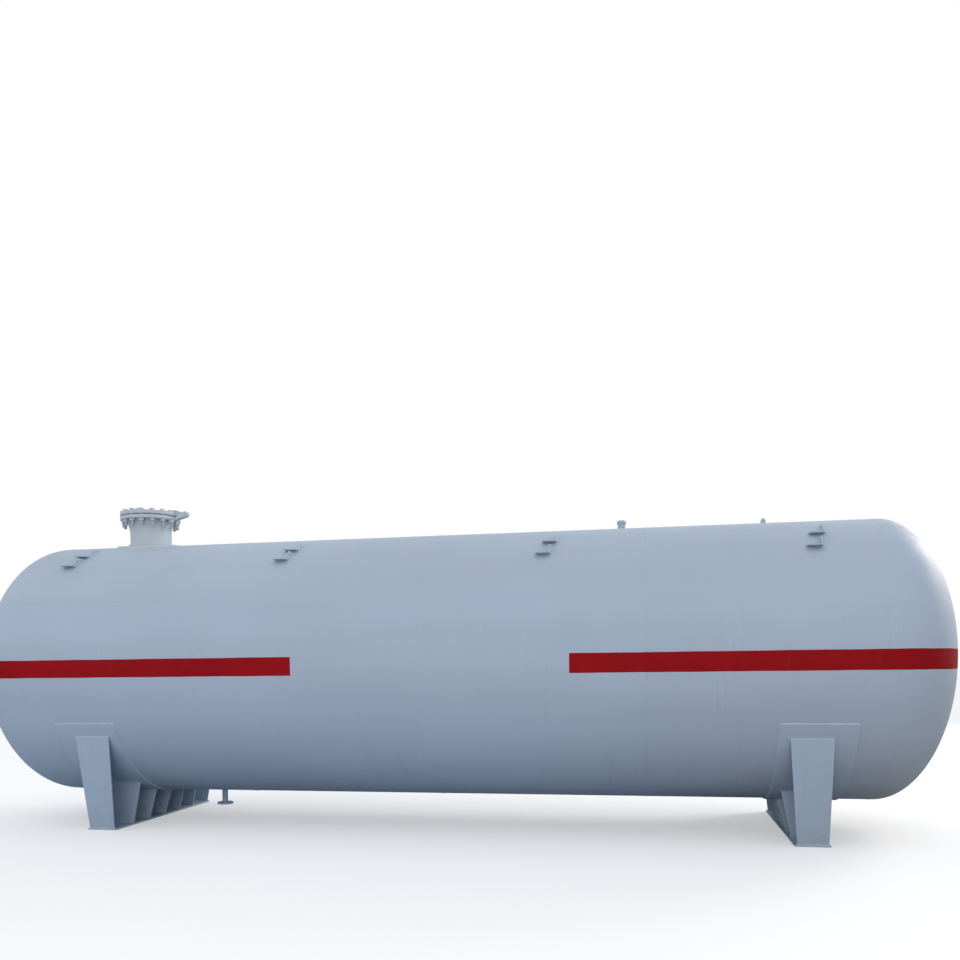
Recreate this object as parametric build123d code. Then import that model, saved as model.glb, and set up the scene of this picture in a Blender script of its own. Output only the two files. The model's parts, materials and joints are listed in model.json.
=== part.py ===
from build123d import *
import math
import os

# Horizontal pressure tank on two welded saddles, in millimetres.
# Origin: on the ground under the middle of the tank. X along the tank, Z up.

# Cylindrical shell: rolled courses butt welded end to end
bore_radius = 1300.0
shell_wall = 16.0
course_length = 2040.0
course_count = 4

# Dished ends: half ellipsoids with a short straight flange
head_wall = 16.0
head_bore_depth = 650.0
head_straight = 40.0

# Height of the shell's underside over the ground
ground_clearance = 300.0

# Root gap left between a curved plate and the plate that it is welded to
fit_gap = 0.3

# Saddles, each placed from its end of the shell, and the pair then moved a little to the right
saddle_from_shell_end = 667.0
saddle_pair_middle_x = 59.0
saddle_wrap_half_angle = 60.0
pad_width = 630.0
pad_thickness = 12.0
pad_half_angle = 66.0
pad_corner_radius = 20.0
base_length = 1970.0
base_width = 300.0
base_thickness = 16.0
base_outboard_lip = 15.0
end_rib_inset = 8.0
web_thickness = 12.0
web_outboard_of_pad_middle = 125.0
rib_thickness = 12.0
rib_top_width = 356.0
rib_foot_width = 268.0
inner_rib_places = (-618.0, -309.0, 0.0, 309.0, 618.0)
anchor_end_distance = 165.0
anchor_hole_radius = 14.0
anchor_slot_length = 60.0

# Manway on top, over the left saddle. Widths are measured outwards from the neck's outside.
manway_from_left_end = 802.0
manway_joint_height = 323.0
manway_pad_width = 127.0
manway_pad_thickness = 16.0
neck_outer_diameter = 426.0
neck_wall = 16.0
flange_width = 97.0
flange_thickness = 40.0
flange_hub_flare = 27.0
flange_hub_height = 115.0
raised_face_width = 37.0
raised_face_height = 3.0
gasket_thickness = 3.0
gasket_inset = 13.0
cover_thickness = 40.0
rim_chamfer = 3.0
stud_distance = 62.0
stud_hole_diameter = 36.0
stud_count = 16

# Hinge that carries the manway cover when it is unbolted
hinge_reach = 105.0
hinge_eye_radius = 30.0
hinge_pin_diameter = 24.0
hinge_pin_clearance = 0.5
hinge_pin_overhang = 10.0
hinge_ear_thickness = 12.0
hinge_arm_thickness = 30.0
hinge_arm_rise = 28.0
hinge_arm_reach_in = 190.0
hinge_arm_slope = 55.0
hinge_side_gap = 1.5
hinge_pin_drop = 0.0

# Bar handle on the cover, opposite the hinge
handle_bar_diameter = 20.0
handle_length = 160.0
handle_height = 70.0
handle_bend = 28.0
handle_x_from_cover_middle = -130.0

# Pipe cleats: a ledge and a drilled end plate, in two rows on each upper side, a pair on each ring.
# Places are distances from the ring's left seam; angles are of the lower and the upper cleat.
cleat_places = (359.0, 602.0, 1104.0, 1420.0)
cleat_angles = ((52.5, 61.5), (52.0, 60.5), (50.0, 59.5), (49.0, 58.5))
cleat_row_shift = 45.0
cleat_length = 120.0
cleat_reach = 80.0
cleat_plate = 10.0
cleat_lug_height = 90.0
cleat_hole_diameter = 18.0
cleat_hole_inset = 35.0
cleat_hole_height = 54.0

# Drain nozzle under the shell
drain_from_left_end = 1587.0
drain_outer_diameter = 60.0
drain_wall = 5.5
drain_face_depth = 165.0
drain_flange_diameter = 165.0
drain_flange_thickness = 20.0
drain_bolt_circle = 125.0
drain_bolt_hole_diameter = 18.0
drain_bolt_count = 4

# Capped half couplings on the crown
vent_from_right_end = 2283.0
vent_diameter = 76.0
vent_bore = 50.0
vent_height = 58.0
vent_cap_diameter = 92.0
vent_cap_height = 32.0
vent_cap_round = 14.0
gauge_from_right_end = 938.0
gauge_diameter = 48.0
gauge_bore = 26.0
gauge_height = 42.0
gauge_plug_diameter = 36.0
gauge_plug_height = 16.0

outer_radius = bore_radius + shell_wall
axis_height = ground_clearance + outer_radius
shell_length = course_count * course_length
pad_seat_radius = outer_radius + fit_gap
rib_seat_radius = pad_seat_radius + pad_thickness + fit_gap
crown = axis_height + outer_radius

saddle_offset = shell_length / 2 - saddle_from_shell_end
manway_x = manway_from_left_end - shell_length / 2
drain_x = drain_from_left_end - shell_length / 2
vent_x = shell_length / 2 - vent_from_right_end
gauge_x = shell_length / 2 - gauge_from_right_end

manway_pad_diameter = neck_outer_diameter + 2 * manway_pad_width
flange_diameter = neck_outer_diameter + 2 * flange_width
flange_hub_diameter = neck_outer_diameter + 2 * flange_hub_flare
raised_face_diameter = neck_outer_diameter + 2 * raised_face_width
gasket_bore_diameter = neck_outer_diameter - 2 * gasket_inset
stud_circle_diameter = neck_outer_diameter + 2 * stud_distance


def save(shape, node):
    """Write one piece to its own file."""
    export_step(shape, f"parts/{node}.step")


def rod_along_x(radius, start, length):
    """Solid cylinder on the tank's axis line, from start towards +X."""
    return Pos(start + length / 2, 0, axis_height) * Rot(0, 90, 0) * Cylinder(radius, length)


def rod_up(x, radius, low, high, y=0.0):
    """Solid upright cylinder between two heights."""
    return Pos(x, y, (low + high) / 2) * Cylinder(radius, high - low)


def tube_up(x, outer, inner, low, high):
    """Upright pipe between two heights."""
    return rod_up(x, outer, low, high) - rod_up(x, inner, low - 1, high + 1)


def shell_course(index):
    """One rolled ring of the shell, with the holes that fall in it."""
    start = -shell_length / 2 + index * course_length
    end = start + course_length
    ring = rod_along_x(outer_radius, start, course_length)
    ring -= rod_along_x(bore_radius, start - 1, course_length + 2)
    top_holes = (
        (manway_x, neck_outer_diameter / 2),
        (vent_x, vent_diameter / 2),
        (gauge_x, gauge_diameter / 2),
    )
    for x, radius in top_holes:
        if start - radius < x < end + radius:
            ring -= rod_up(x, radius + fit_gap, axis_height, crown + shell_wall)
    drain_radius = drain_outer_diameter / 2
    if start - drain_radius < drain_x < end + drain_radius:
        ring -= rod_up(drain_x, drain_radius + fit_gap, 0, axis_height)
    return ring


def dome(radius, depth):
    """Solid half ellipsoid with its straight flange, opening at X = 0."""
    edge = Polyline((0, 0), (0, radius), (head_straight, radius))
    arc = EllipticalCenterArc((head_straight, 0), depth, radius, start_angle=0, arc_size=90)
    axis = Line((head_straight + depth, 0), (0, 0))
    return revolve(make_face(edge + arc + axis), Axis.X)


def head():
    """Dished end of one wall thickness, facing +X."""
    shell = dome(outer_radius, head_bore_depth + head_wall)
    shell -= dome(bore_radius, head_bore_depth)
    return Pos(shell_length / 2, 0, axis_height) * shell


def facing(side, shape, place=0.0):
    """The piece as built for the right end, or its mirror image for the left, moved along X."""
    if side > 0:
        return Pos(place, 0, 0) * shape
    return Pos(place, 0, 0) * mirror(shape, Plane.YZ)


# A saddle is built with X = 0 at the middle of its pad and +X outboard
web_outer_x = web_outboard_of_pad_middle
web_inner_x = web_outer_x - web_thickness
horn_y = rib_seat_radius * math.sin(math.radians(saddle_wrap_half_angle))
horn_z = axis_height - rib_seat_radius * math.cos(math.radians(saddle_wrap_half_angle))
foot_y = base_length / 2 - rib_thickness - end_rib_inset
side_slope = math.atan2(horn_y - foot_y, horn_z - base_thickness)
rib_run_y = rib_thickness / math.cos(side_slope)


def seat_cut():
    """Cylinder that shapes the top of a web or rib to the saddle pad."""
    return rod_along_x(rib_seat_radius, -pad_width, 2 * pad_width)


def saddle_pad():
    """Wrapper plate between the shell and the saddle, with rounded corners."""
    start = -pad_width / 2
    ring = rod_along_x(pad_seat_radius + pad_thickness, start, pad_width)
    ring -= rod_along_x(pad_seat_radius, start - 1, pad_width + 2)
    top = axis_height - pad_seat_radius * math.cos(math.radians(pad_half_angle))
    low = ground_clearance - 2 * pad_thickness - pad_corner_radius
    outline = RectangleRounded(pad_width, top - low, pad_corner_radius)
    window = extrude(Plane.XZ * outline, outer_radius * 2, both=True)
    return ring & (Pos(0, 0, (top + low) / 2) * window)


def saddle_web():
    """Cross plate of the saddle, cut to the pad along its top."""
    outline = Polygon(
        (-foot_y, base_thickness),
        (foot_y, base_thickness),
        (horn_y, horn_z),
        (-horn_y, horn_z),
        align=None,
    )
    plate = extrude(Plane.YZ * outline, web_thickness, dir=(1, 0, 0))
    return Pos(web_inner_x, 0, 0) * plate - seat_cut()


def rib_outline(outboard_x, top_z):
    """Side view of a rib that widens from its foot to its top at top_z, swept across the saddle."""
    widening = (rib_top_width - rib_foot_width) / (top_z - base_thickness)
    horn_x = web_outer_x - rib_foot_width - widening * (horn_z - base_thickness)
    outline = Polygon(
        (outboard_x, base_thickness),
        (outboard_x, horn_z),
        (horn_x, horn_z),
        (web_outer_x - rib_foot_width, base_thickness),
        align=None,
    )
    return extrude(Plane.XZ * outline, base_length, both=True)


def end_rib(side):
    """Leaning plate that closes one end of the saddle; side is -1 near, +1 far."""
    outline = Polygon(
        (side * foot_y, base_thickness),
        (side * (foot_y + rib_run_y), base_thickness),
        (side * (horn_y + rib_run_y), horn_z),
        (side * horn_y, horn_z),
        align=None,
    )
    plate = extrude(Plane.YZ * outline, pad_width, both=True)
    return (plate & rib_outline(web_outer_x, horn_z)) - seat_cut()


def inner_rib(y):
    """Upright rib between the base plate and the pad."""
    top_z = axis_height - math.sqrt(rib_seat_radius**2 - y**2)
    slab = Pos(0, y, horn_z / 2) * Box(2 * pad_width, rib_thickness, horn_z)
    return (slab & rib_outline(web_inner_x, top_z)) - seat_cut()


def saddle_base(slotted):
    """Base plate with one anchor hole near each end, slotted on the sliding saddle."""
    middle_x = web_outer_x + base_outboard_lip - base_width / 2
    plate = Pos(middle_x, 0, base_thickness / 2) * Box(base_width, base_length, base_thickness)
    anchor_y = base_length / 2 - anchor_end_distance
    for side in (-1, 1):
        if slotted:
            hole = SlotOverall(anchor_slot_length, 2 * anchor_hole_radius)
        else:
            hole = Circle(anchor_hole_radius)
        plate -= Pos(middle_x, side * anchor_y, 0) * extrude(hole, base_thickness)
    return plate


joint_z = crown + manway_joint_height
flange_bottom_z = joint_z - flange_thickness
hub_bottom_z = flange_bottom_z - flange_hub_height
cover_bottom_z = joint_z + gasket_thickness
cover_top_z = cover_bottom_z + cover_thickness
neck_bore_radius = neck_outer_diameter / 2 - neck_wall


def stud_holes(low, high):
    """Ring of stud holes through the manway flange or its cover."""
    holes = Part()
    for place in PolarLocations(stud_circle_diameter / 2, stud_count, start_angle=180 / stud_count):
        drill = Cylinder(stud_hole_diameter / 2, high - low)
        holes += Pos(manway_x, 0, (low + high) / 2) * place * drill
    return holes


def manway_pad():
    """Reinforcing ring plate, bent to the shell round the manway neck."""
    plate = tube_up(
        manway_x,
        manway_pad_diameter / 2,
        neck_outer_diameter / 2 + fit_gap,
        axis_height + bore_radius / 2,
        crown + shell_wall + manway_pad_thickness,
    )
    start = manway_x - manway_pad_diameter
    plate &= rod_along_x(pad_seat_radius + manway_pad_thickness, start, 2 * manway_pad_diameter)
    return plate - rod_along_x(pad_seat_radius, start, 2 * manway_pad_diameter)


def manway_neck():
    """Pipe through the shell, flush with the bore and welded to the flange."""
    pipe = tube_up(
        manway_x,
        neck_outer_diameter / 2,
        neck_bore_radius,
        axis_height + bore_radius / 2,
        hub_bottom_z,
    )
    return pipe - rod_along_x(bore_radius, manway_x - flange_diameter, 2 * flange_diameter)


def manway_flange():
    """Weld neck flange: tapered hub, drilled rim and raised face."""
    rim = flange_diameter / 2
    profile = Polyline(
        (neck_bore_radius, hub_bottom_z),
        (neck_outer_diameter / 2, hub_bottom_z),
        (flange_hub_diameter / 2, flange_bottom_z),
        (rim - rim_chamfer, flange_bottom_z),
        (rim, flange_bottom_z + rim_chamfer),
        (rim, joint_z - raised_face_height - rim_chamfer),
        (rim - rim_chamfer, joint_z - raised_face_height),
        (raised_face_diameter / 2, joint_z - raised_face_height),
        (raised_face_diameter / 2, joint_z),
        (neck_bore_radius, joint_z),
        close=True,
    )
    body = revolve(make_face(Plane.XZ * profile), Axis.Z)
    return Pos(manway_x, 0, 0) * body - stud_holes(flange_bottom_z, joint_z)


def manway_gasket():
    """Flat ring between the two raised faces."""
    return tube_up(
        manway_x,
        raised_face_diameter / 2,
        gasket_bore_diameter / 2,
        joint_z,
        cover_bottom_z,
    )


def manway_cover():
    """Blind flange that closes the manway."""
    rim = flange_diameter / 2
    profile = Polyline(
        (0, cover_bottom_z),
        (raised_face_diameter / 2, cover_bottom_z),
        (raised_face_diameter / 2, cover_bottom_z + raised_face_height),
        (rim - rim_chamfer, cover_bottom_z + raised_face_height),
        (rim, cover_bottom_z + raised_face_height + rim_chamfer),
        (rim, cover_top_z - rim_chamfer),
        (rim - rim_chamfer, cover_top_z),
        (0, cover_top_z),
        close=True,
    )
    body = revolve(make_face(Plane.XZ * profile), Axis.Z)
    return Pos(manway_x, 0, 0) * body - stud_holes(cover_bottom_z, cover_top_z)


hinge_pin_x = manway_x + flange_diameter / 2 + hinge_reach
hinge_pin_z = cover_bottom_z + cover_thickness / 2 - hinge_pin_drop
hinge_ear_y = hinge_arm_thickness / 2 + hinge_side_gap + hinge_ear_thickness / 2


def hinge_eye():
    """Side view of the round eye round the hinge pin, and its hole."""
    eye = Pos(hinge_pin_x, hinge_pin_z) * Circle(hinge_eye_radius)
    hole = Pos(hinge_pin_x, hinge_pin_z) * Circle(hinge_pin_diameter / 2 + hinge_pin_clearance)
    return eye, hole


def hinge_plate(outline, y, thickness):
    """Upright plate of one outline, clear of the cover's and flange's round rim."""
    plate = Pos(0, y, 0) * extrude(Plane.XZ * outline, thickness / 2, both=True)
    rim = rod_up(manway_x, flange_diameter / 2 + fit_gap, flange_bottom_z, cover_top_z)
    return plate - rim


def hinge_ears():
    """Two ears on the neck flange."""
    eye, hole = hinge_eye()
    root = Polygon(
        (manway_x + flange_diameter / 2 - 3 * rim_chamfer, flange_bottom_z + rim_chamfer),
        (hinge_pin_x, hinge_pin_z - hinge_eye_radius),
        (hinge_pin_x, hinge_pin_z + hinge_eye_radius),
        (manway_x + flange_diameter / 2 - 3 * rim_chamfer, joint_z - raised_face_height - rim_chamfer),
        align=None,
    )
    outline = eye + root - hole
    near = hinge_plate(outline, -hinge_ear_y, hinge_ear_thickness)
    far = hinge_plate(outline, hinge_ear_y, hinge_ear_thickness)
    return near + far


def hinge_arm():
    """Arm welded on top of the cover that reaches over its rim to swing between the ears."""
    eye, hole = hinge_eye()
    rim_x = manway_x + flange_diameter / 2
    inner_x = rim_x - hinge_arm_reach_in
    strap = Polygon(
        (inner_x, cover_top_z),
        (inner_x + hinge_arm_slope, cover_top_z + hinge_arm_rise),
        (rim_x, cover_top_z + hinge_arm_rise),
        (hinge_pin_x + hinge_eye_radius, hinge_pin_z),
        (hinge_pin_x, hinge_pin_z - hinge_eye_radius),
        (rim_x, cover_bottom_z + raised_face_height + rim_chamfer),
        align=None,
    )
    return hinge_plate(eye + strap - hole, 0, hinge_arm_thickness)


def cover_handle():
    """Round bar bent square, welded upright on the cover."""
    x = manway_x + handle_x_from_cover_middle
    half = handle_length / 2 - handle_bar_diameter / 2
    top = cover_top_z + handle_height - handle_bar_diameter / 2
    path = FilletPolyline(
        (x, -half, cover_top_z),
        (x, -half, top),
        (x, half, top),
        (x, half, cover_top_z),
        radius=handle_bend,
    )
    section = Plane((x, -half, cover_top_z)) * Circle(handle_bar_diameter / 2)
    return sweep(section, path)


def hinge_pin():
    """Pin through the ears and the arm."""
    half = hinge_ear_y + hinge_ear_thickness / 2 + hinge_pin_overhang
    bar = Rot(90, 0, 0) * Cylinder(hinge_pin_diameter / 2, 2 * half)
    return Pos(hinge_pin_x, 0, hinge_pin_z) * bar


def cleat(x, angle, side):
    """Ledge on the shell with an upright drilled plate across its right end."""
    slope = math.tan(math.radians(angle))
    surface_y = outer_radius * math.cos(math.radians(angle))
    ledge_z = axis_height + outer_radius * math.sin(math.radians(angle))
    outer_y = surface_y + cleat_reach
    ledge = Pos(x, surface_y, ledge_z) * Box(cleat_length, 2 * cleat_reach, cleat_plate)
    low_z = ledge_z - cleat_plate / 2
    high_z = low_z + cleat_lug_height
    lean = cleat_lug_height * slope
    inner_y = surface_y - cleat_reach - lean
    outline = Polygon(
        (inner_y, low_z),
        (outer_y, low_z),
        (outer_y - lean, high_z),
        (inner_y, high_z),
        align=None,
    )
    hole_y = outer_y - cleat_hole_height * slope - cleat_hole_inset
    outline -= Pos(hole_y, low_z + cleat_hole_height) * Circle(cleat_hole_diameter / 2)
    lug = extrude(Plane.YZ * outline, cleat_plate, dir=(1, 0, 0))
    piece = ledge + Pos(x + cleat_length / 2, 0, 0) * lug
    piece -= rod_along_x(pad_seat_radius, x - cleat_length, 2 * cleat_length)
    if side > 0:
        return piece
    return mirror(piece, Plane.XZ)


def cleat_pair(index, side):
    """The two cleats of one ring on one side of the tank; the upper one stands further along."""
    x = index * course_length - shell_length / 2 + cleat_places[index]
    low_angle, high_angle = cleat_angles[index]
    return cleat(x, low_angle, side) + cleat(x + cleat_row_shift, high_angle, side)


drain_face_z = ground_clearance - drain_face_depth
drain_bore_radius = drain_outer_diameter / 2 - drain_wall


def drain_neck():
    """Pipe through the lowest line of the shell, flush with the bore."""
    pipe = tube_up(
        drain_x,
        drain_outer_diameter / 2,
        drain_bore_radius,
        drain_face_z + drain_flange_thickness,
        ground_clearance + 3 * shell_wall,
    )
    return pipe - rod_along_x(bore_radius, drain_x - drain_flange_diameter, 2 * drain_flange_diameter)


def drain_flange():
    """Drilled flange at the foot of the drain nozzle, open for the plant's pipe."""
    plate = tube_up(
        drain_x,
        drain_flange_diameter / 2,
        drain_bore_radius,
        drain_face_z,
        drain_face_z + drain_flange_thickness,
    )
    middle_z = drain_face_z + drain_flange_thickness / 2
    for place in PolarLocations(drain_bolt_circle / 2, drain_bolt_count, start_angle=45):
        drill = Cylinder(drain_bolt_hole_diameter / 2, drain_flange_thickness)
        plate -= Pos(drain_x, 0, middle_z) * place * drill
    return plate


def coupling(x, diameter, bore, height):
    """Half coupling through the crown, flush with the bore."""
    pipe = tube_up(x, diameter / 2, bore / 2, crown - 3 * shell_wall, crown + height)
    return pipe - rod_along_x(bore_radius, x - diameter, 2 * diameter)


def vent_cap():
    """Round topped cap on the vent coupling."""
    low = crown + vent_height
    cap = rod_up(vent_x, vent_cap_diameter / 2, low, low + vent_cap_height)
    return fillet(cap.edges().group_by(Axis.Z)[-1], vent_cap_round)


def gauge_plug():
    """Hexagonal plug on the gauge coupling."""
    outline = RegularPolygon(gauge_plug_diameter / 2, 6)
    plug = extrude(outline, gauge_plug_height)
    return Pos(gauge_x, 0, crown + gauge_height) * plug


os.makedirs("parts", exist_ok=True)

for index in range(course_count):
    save(shell_course(index), f"shell_course_{index + 1}")

for end, side in (("left", -1), ("right", 1)):
    place = saddle_pair_middle_x + side * saddle_offset
    save(facing(side, head()), f"head_{end}")
    save(facing(side, saddle_pad(), place), f"saddle_{end}_pad")
    save(facing(side, saddle_web(), place), f"saddle_{end}_web")
    save(facing(side, saddle_base(slotted=side > 0), place), f"saddle_{end}_base")
    save(facing(side, end_rib(-1), place), f"saddle_{end}_end_rib_near")
    save(facing(side, end_rib(1), place), f"saddle_{end}_end_rib_far")
    for number, y in enumerate(inner_rib_places, start=1):
        save(facing(side, inner_rib(y), place), f"saddle_{end}_rib_{number}")

save(manway_pad(), "manway_pad")
save(manway_neck(), "manway_neck")
save(manway_flange(), "manway_flange")
save(manway_gasket(), "manway_gasket")
save(manway_cover(), "manway_cover")
save(hinge_ears(), "manway_hinge_ears")
save(hinge_arm(), "manway_hinge_arm")
save(hinge_pin(), "manway_hinge_pin")
save(cover_handle(), "manway_handle")

for index in range(len(cleat_places)):
    save(cleat_pair(index, -1), f"cleats_near_{index + 1}")
    save(cleat_pair(index, 1), f"cleats_far_{index + 1}")

save(drain_neck(), "drain_neck")
save(drain_flange(), "drain_flange")
save(coupling(vent_x, vent_diameter, vent_bore, vent_height), "vent_coupling")
save(vent_cap(), "vent_cap")
save(coupling(gauge_x, gauge_diameter, gauge_bore, gauge_height), "gauge_coupling")
save(gauge_plug(), "gauge_plug")
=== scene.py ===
# %% [markdown]
# This lesson dresses a horizontal pressure tank: a steel shell with dished ends, two welded
# saddles, a bolted manway, pipe cleats and a few small fittings. The plates arrive as finished
# solids at their real size. What is made here is everything that paint, weld metal and fasteners
# add to them, and the light they are looked at in.
# One unit is one metre, X runs along the tank, Y to the back and Z up from the ground.

# %% Load the steelwork
import json
import math
import random

import bpy
import numpy as np
from mathutils import Matrix, Vector

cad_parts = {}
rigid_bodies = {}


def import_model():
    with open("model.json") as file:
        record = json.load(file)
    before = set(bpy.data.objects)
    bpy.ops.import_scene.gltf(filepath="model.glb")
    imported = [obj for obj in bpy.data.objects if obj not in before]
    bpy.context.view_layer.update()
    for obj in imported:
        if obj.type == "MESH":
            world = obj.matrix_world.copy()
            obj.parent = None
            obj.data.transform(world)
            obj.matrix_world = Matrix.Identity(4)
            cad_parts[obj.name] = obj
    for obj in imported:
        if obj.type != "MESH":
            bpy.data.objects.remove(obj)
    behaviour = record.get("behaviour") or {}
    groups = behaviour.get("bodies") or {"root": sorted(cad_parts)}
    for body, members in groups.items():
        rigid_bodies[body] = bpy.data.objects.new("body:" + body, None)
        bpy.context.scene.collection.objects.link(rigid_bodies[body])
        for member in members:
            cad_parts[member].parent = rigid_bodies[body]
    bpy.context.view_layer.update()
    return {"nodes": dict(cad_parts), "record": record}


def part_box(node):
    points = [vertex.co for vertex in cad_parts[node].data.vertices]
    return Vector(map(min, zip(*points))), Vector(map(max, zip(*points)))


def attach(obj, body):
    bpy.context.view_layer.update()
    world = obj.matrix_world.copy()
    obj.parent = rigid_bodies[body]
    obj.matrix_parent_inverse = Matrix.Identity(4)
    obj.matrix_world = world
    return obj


for start_object in list(bpy.data.objects):
    bpy.data.objects.remove(start_object)
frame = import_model()
print("steel pieces:", len(frame["nodes"]))

# %% [markdown]
# A tank is dimensioned from its shell, so the shell's radius, its axis and the seams between its
# rolled rings are read back from the solids. Every bead, band and bolt below is placed from these
# few values and from the boxes of the pieces that it belongs to.

# %% Read the shell's own dimensions
rings = [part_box(f"shell_course_{number}") for number in range(1, 5)]
shell_radius = (rings[0][1].y - rings[0][0].y) / 2
axis_z = (rings[0][1].z + rings[0][0].z) / 2
seams = [low.x for low, high in rings] + [rings[-1][1].x]
tank_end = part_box("head_right")[1].x
print("shell radius", round(shell_radius, 4), "axis height", round(axis_z, 4))
print("seams at", [round(x, 3) for x in seams], "tank ends at", round(tank_end, 3))

# %% [markdown]
# The camera stands nine metres from the tank's middle line at eye height, turned a little to the
# left. A tall building or a long tank is photographed with a level camera and a shifted lens, so
# that upright edges stay upright. Nearly the same is done here: the lens is pitched by only three
# degrees, and the shift brings the tank to its place in the picture.

# %% Camera
eye = Vector((2.0505, -9.107, 1.574))
look = Vector((-0.1831, 0.9814, -0.0583))
roll = math.radians(-0.62)

camera_data = bpy.data.cameras.new("eye_level")
camera = bpy.data.objects.new("eye_level", camera_data)
bpy.context.scene.collection.objects.link(camera)
camera.location = eye
aimed = look.to_track_quat("-Z", "Y").to_matrix() @ Matrix.Rotation(roll, 3, "Z")
camera.rotation_euler = aimed.to_euler()
camera_data.sensor_width = 36.0
camera_data.lens = 33.75
camera_data.shift_y = 0.2517
camera_data.clip_end = 500.0
bpy.context.scene.camera = camera
print("right", [round(v, 4) for v in aimed.col[0]], "up", [round(v, 4) for v in aimed.col[1]])

# %% [markdown]
# The floor is one wide pale plane. Seen by the camera it is lifted to almost white, yet it keeps
# the soft shadow that shows where the saddles stand. To every other ray its colour has painted
# shade near the tank (bluish), painted sunlight further out in front (warm and pale) and painted
# shade towards the right end (dull). The lower half of the shell is lit by little else.

# %% Node helpers and the floor
WHITE = (1.0, 1.0, 1.0, 1.0)


def new_material(name):
    """An empty node material, its tree and its output node."""
    material = bpy.data.materials.new(name)
    material.use_nodes = True
    tree = material.node_tree
    tree.nodes.clear()
    return material, tree, tree.nodes.new("ShaderNodeOutputMaterial")


def node(tree, kind, inputs=None, **settings):
    """Adds a node; inputs are values or the sockets that feed it."""
    made = tree.nodes.new("ShaderNode" + kind)
    for name, value in settings.items():
        setattr(made, name, value)
    for name, value in (inputs or {}).items():
        socket = made.inputs[name]
        if isinstance(value, bpy.types.NodeSocket):
            tree.links.new(value, socket)
        else:
            socket.default_value = value
    return made


def chain(tree, operation, value, *others):
    """Output of a row of math nodes, each of which takes in one more value."""
    for other in others:
        value = node(tree, "Math", {0: value, 1: other}, operation=operation).outputs[0]
    return value


def seen_directly(tree):
    """1 for rays that show the background: camera, mirror and glass rays."""
    path = node(tree, "LightPath").outputs
    rays = [path[f"Is {kind} Ray"] for kind in ("Camera", "Glossy", "Transmission")]
    return chain(tree, "MAXIMUM", *rays)


def ramp(tree, value, low, high, start=0.0, end=1.0):
    """Value between low and high, spread over start to end, with smooth ends."""
    sockets = {"Value": value, "From Min": low, "From Max": high, "To Min": start, "To Max": end}
    return node(tree, "MapRange", sockets, interpolation_type="SMOOTHSTEP").outputs[0]


# A mix node has one set of sockets for every kind of data. These are the ones for colours.
MIX_SHARE, MIX_FIRST, MIX_SECOND, MIX_RESULT = 0, 6, 7, 2


def blend_colour(tree, share, first, second, kind="MIX"):
    """Output of a colour mix node."""
    sockets = {MIX_SHARE: share, MIX_FIRST: first, MIX_SECOND: second}
    return node(tree, "Mix", sockets, data_type="RGBA", blend_type=kind).outputs[MIX_RESULT]


FLOOR_HALF_WIDTH = 120.0
FLOOR_LIFT = 0.40
SHADE_ENDS_Y = -3.0
SUN_BEGINS_Y = -7.0
RIGHT_SHADE_BEGINS_X = 0.5
RIGHT_SHADE_FULL_X = 4.5
seen_floor = (0.60, 0.60, 0.60, 1.0)
# Floor tones for bounce rays are painted: shade near the tank, sunlight in front, shade to the
# right.
shaded_floor = (0.40, 0.46, 0.53, 1.0)
sunny_floor = (0.82, 0.68, 0.67, 1.0)
painted_right_shade_floor = (0.30, 0.27, 0.25, 1.0)

floor_material, tree, output = new_material("pale_floor")
place = node(tree, "SeparateXYZ", {0: node(tree, "NewGeometry").outputs["Position"]})
in_front = ramp(tree, place.outputs["Y"], SHADE_ENDS_Y, SUN_BEGINS_Y)
# Mask of the painted shade towards the right end, and the blends of painted shade and sunlight.
in_right_shade = ramp(tree, place.outputs["X"], RIGHT_SHADE_BEGINS_X, RIGHT_SHADE_FULL_X)
yard = blend_colour(tree, in_front, shaded_floor, sunny_floor)
yard = blend_colour(tree, in_right_shade, yard, painted_right_shade_floor)
camera_ray = node(tree, "LightPath").outputs["Is Camera Ray"]
plain = node(tree, "BsdfDiffuse", {"Color": blend_colour(tree, camera_ray, yard, seen_floor)})
glow = node(tree, "Emission", {"Color": WHITE, "Strength": FLOOR_LIFT})
lifted = node(tree, "AddShader", {0: plain.outputs[0], 1: glow.outputs[0]})
choice = node(tree, "MixShader", {0: camera_ray, 1: plain.outputs[0], 2: lifted.outputs[0]})
tree.links.new(choice.outputs[0], output.inputs["Surface"])

floor_mesh = bpy.data.meshes.new("floor")
quarters = ((-1, -1), (1, -1), (1, 1), (-1, 1))
corners = [(x * FLOOR_HALF_WIDTH, y * FLOOR_HALF_WIDTH, 0.0) for x, y in quarters]
floor_mesh.from_pydata(corners, [], [(0, 1, 2, 3)])
floor_mesh.materials.append(floor_material)
floor = bpy.data.objects.new("floor", floor_mesh)
bpy.context.scene.collection.objects.link(floor)
print("floor side", 2 * FLOOR_HALF_WIDTH, "m")

# %% [markdown]
# The tank stands in open shade: light comes from the whole sky, a little blue, and falls off round
# the shell towards the ground. An even sky does most of it. A wide warm lamp low in front stands
# for the sunlit yard behind the camera. The low sun comes from behind the right end, where it
# draws the bright rim, and is far enough away to light the right side of the manway too.

# %% Sky and lamps
SKY_STRENGTH = 0.86
SUN_DISTANCE = 15.0
sky_tint = (0.955, 1.0, 1.05, 1.0)
yard_tint = (1.0, 0.96, 0.92)
sun_tint = (1.0, 0.92, 0.84)

world = bpy.data.worlds.new("open_shade")
bpy.context.scene.world = world
world.use_nodes = True
tree = world.node_tree
tree.nodes.clear()
sky = node(tree, "Background", {"Color": sky_tint, "Strength": SKY_STRENGTH})
white = node(tree, "Background", {"Color": WHITE, "Strength": 1.0})
choice = node(tree, "MixShader", {0: seen_directly(tree), 1: sky.outputs[0], 2: white.outputs[0]})
output = tree.nodes.new("ShaderNodeOutputWorld")
tree.links.new(choice.outputs[0], output.inputs["Surface"])


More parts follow.
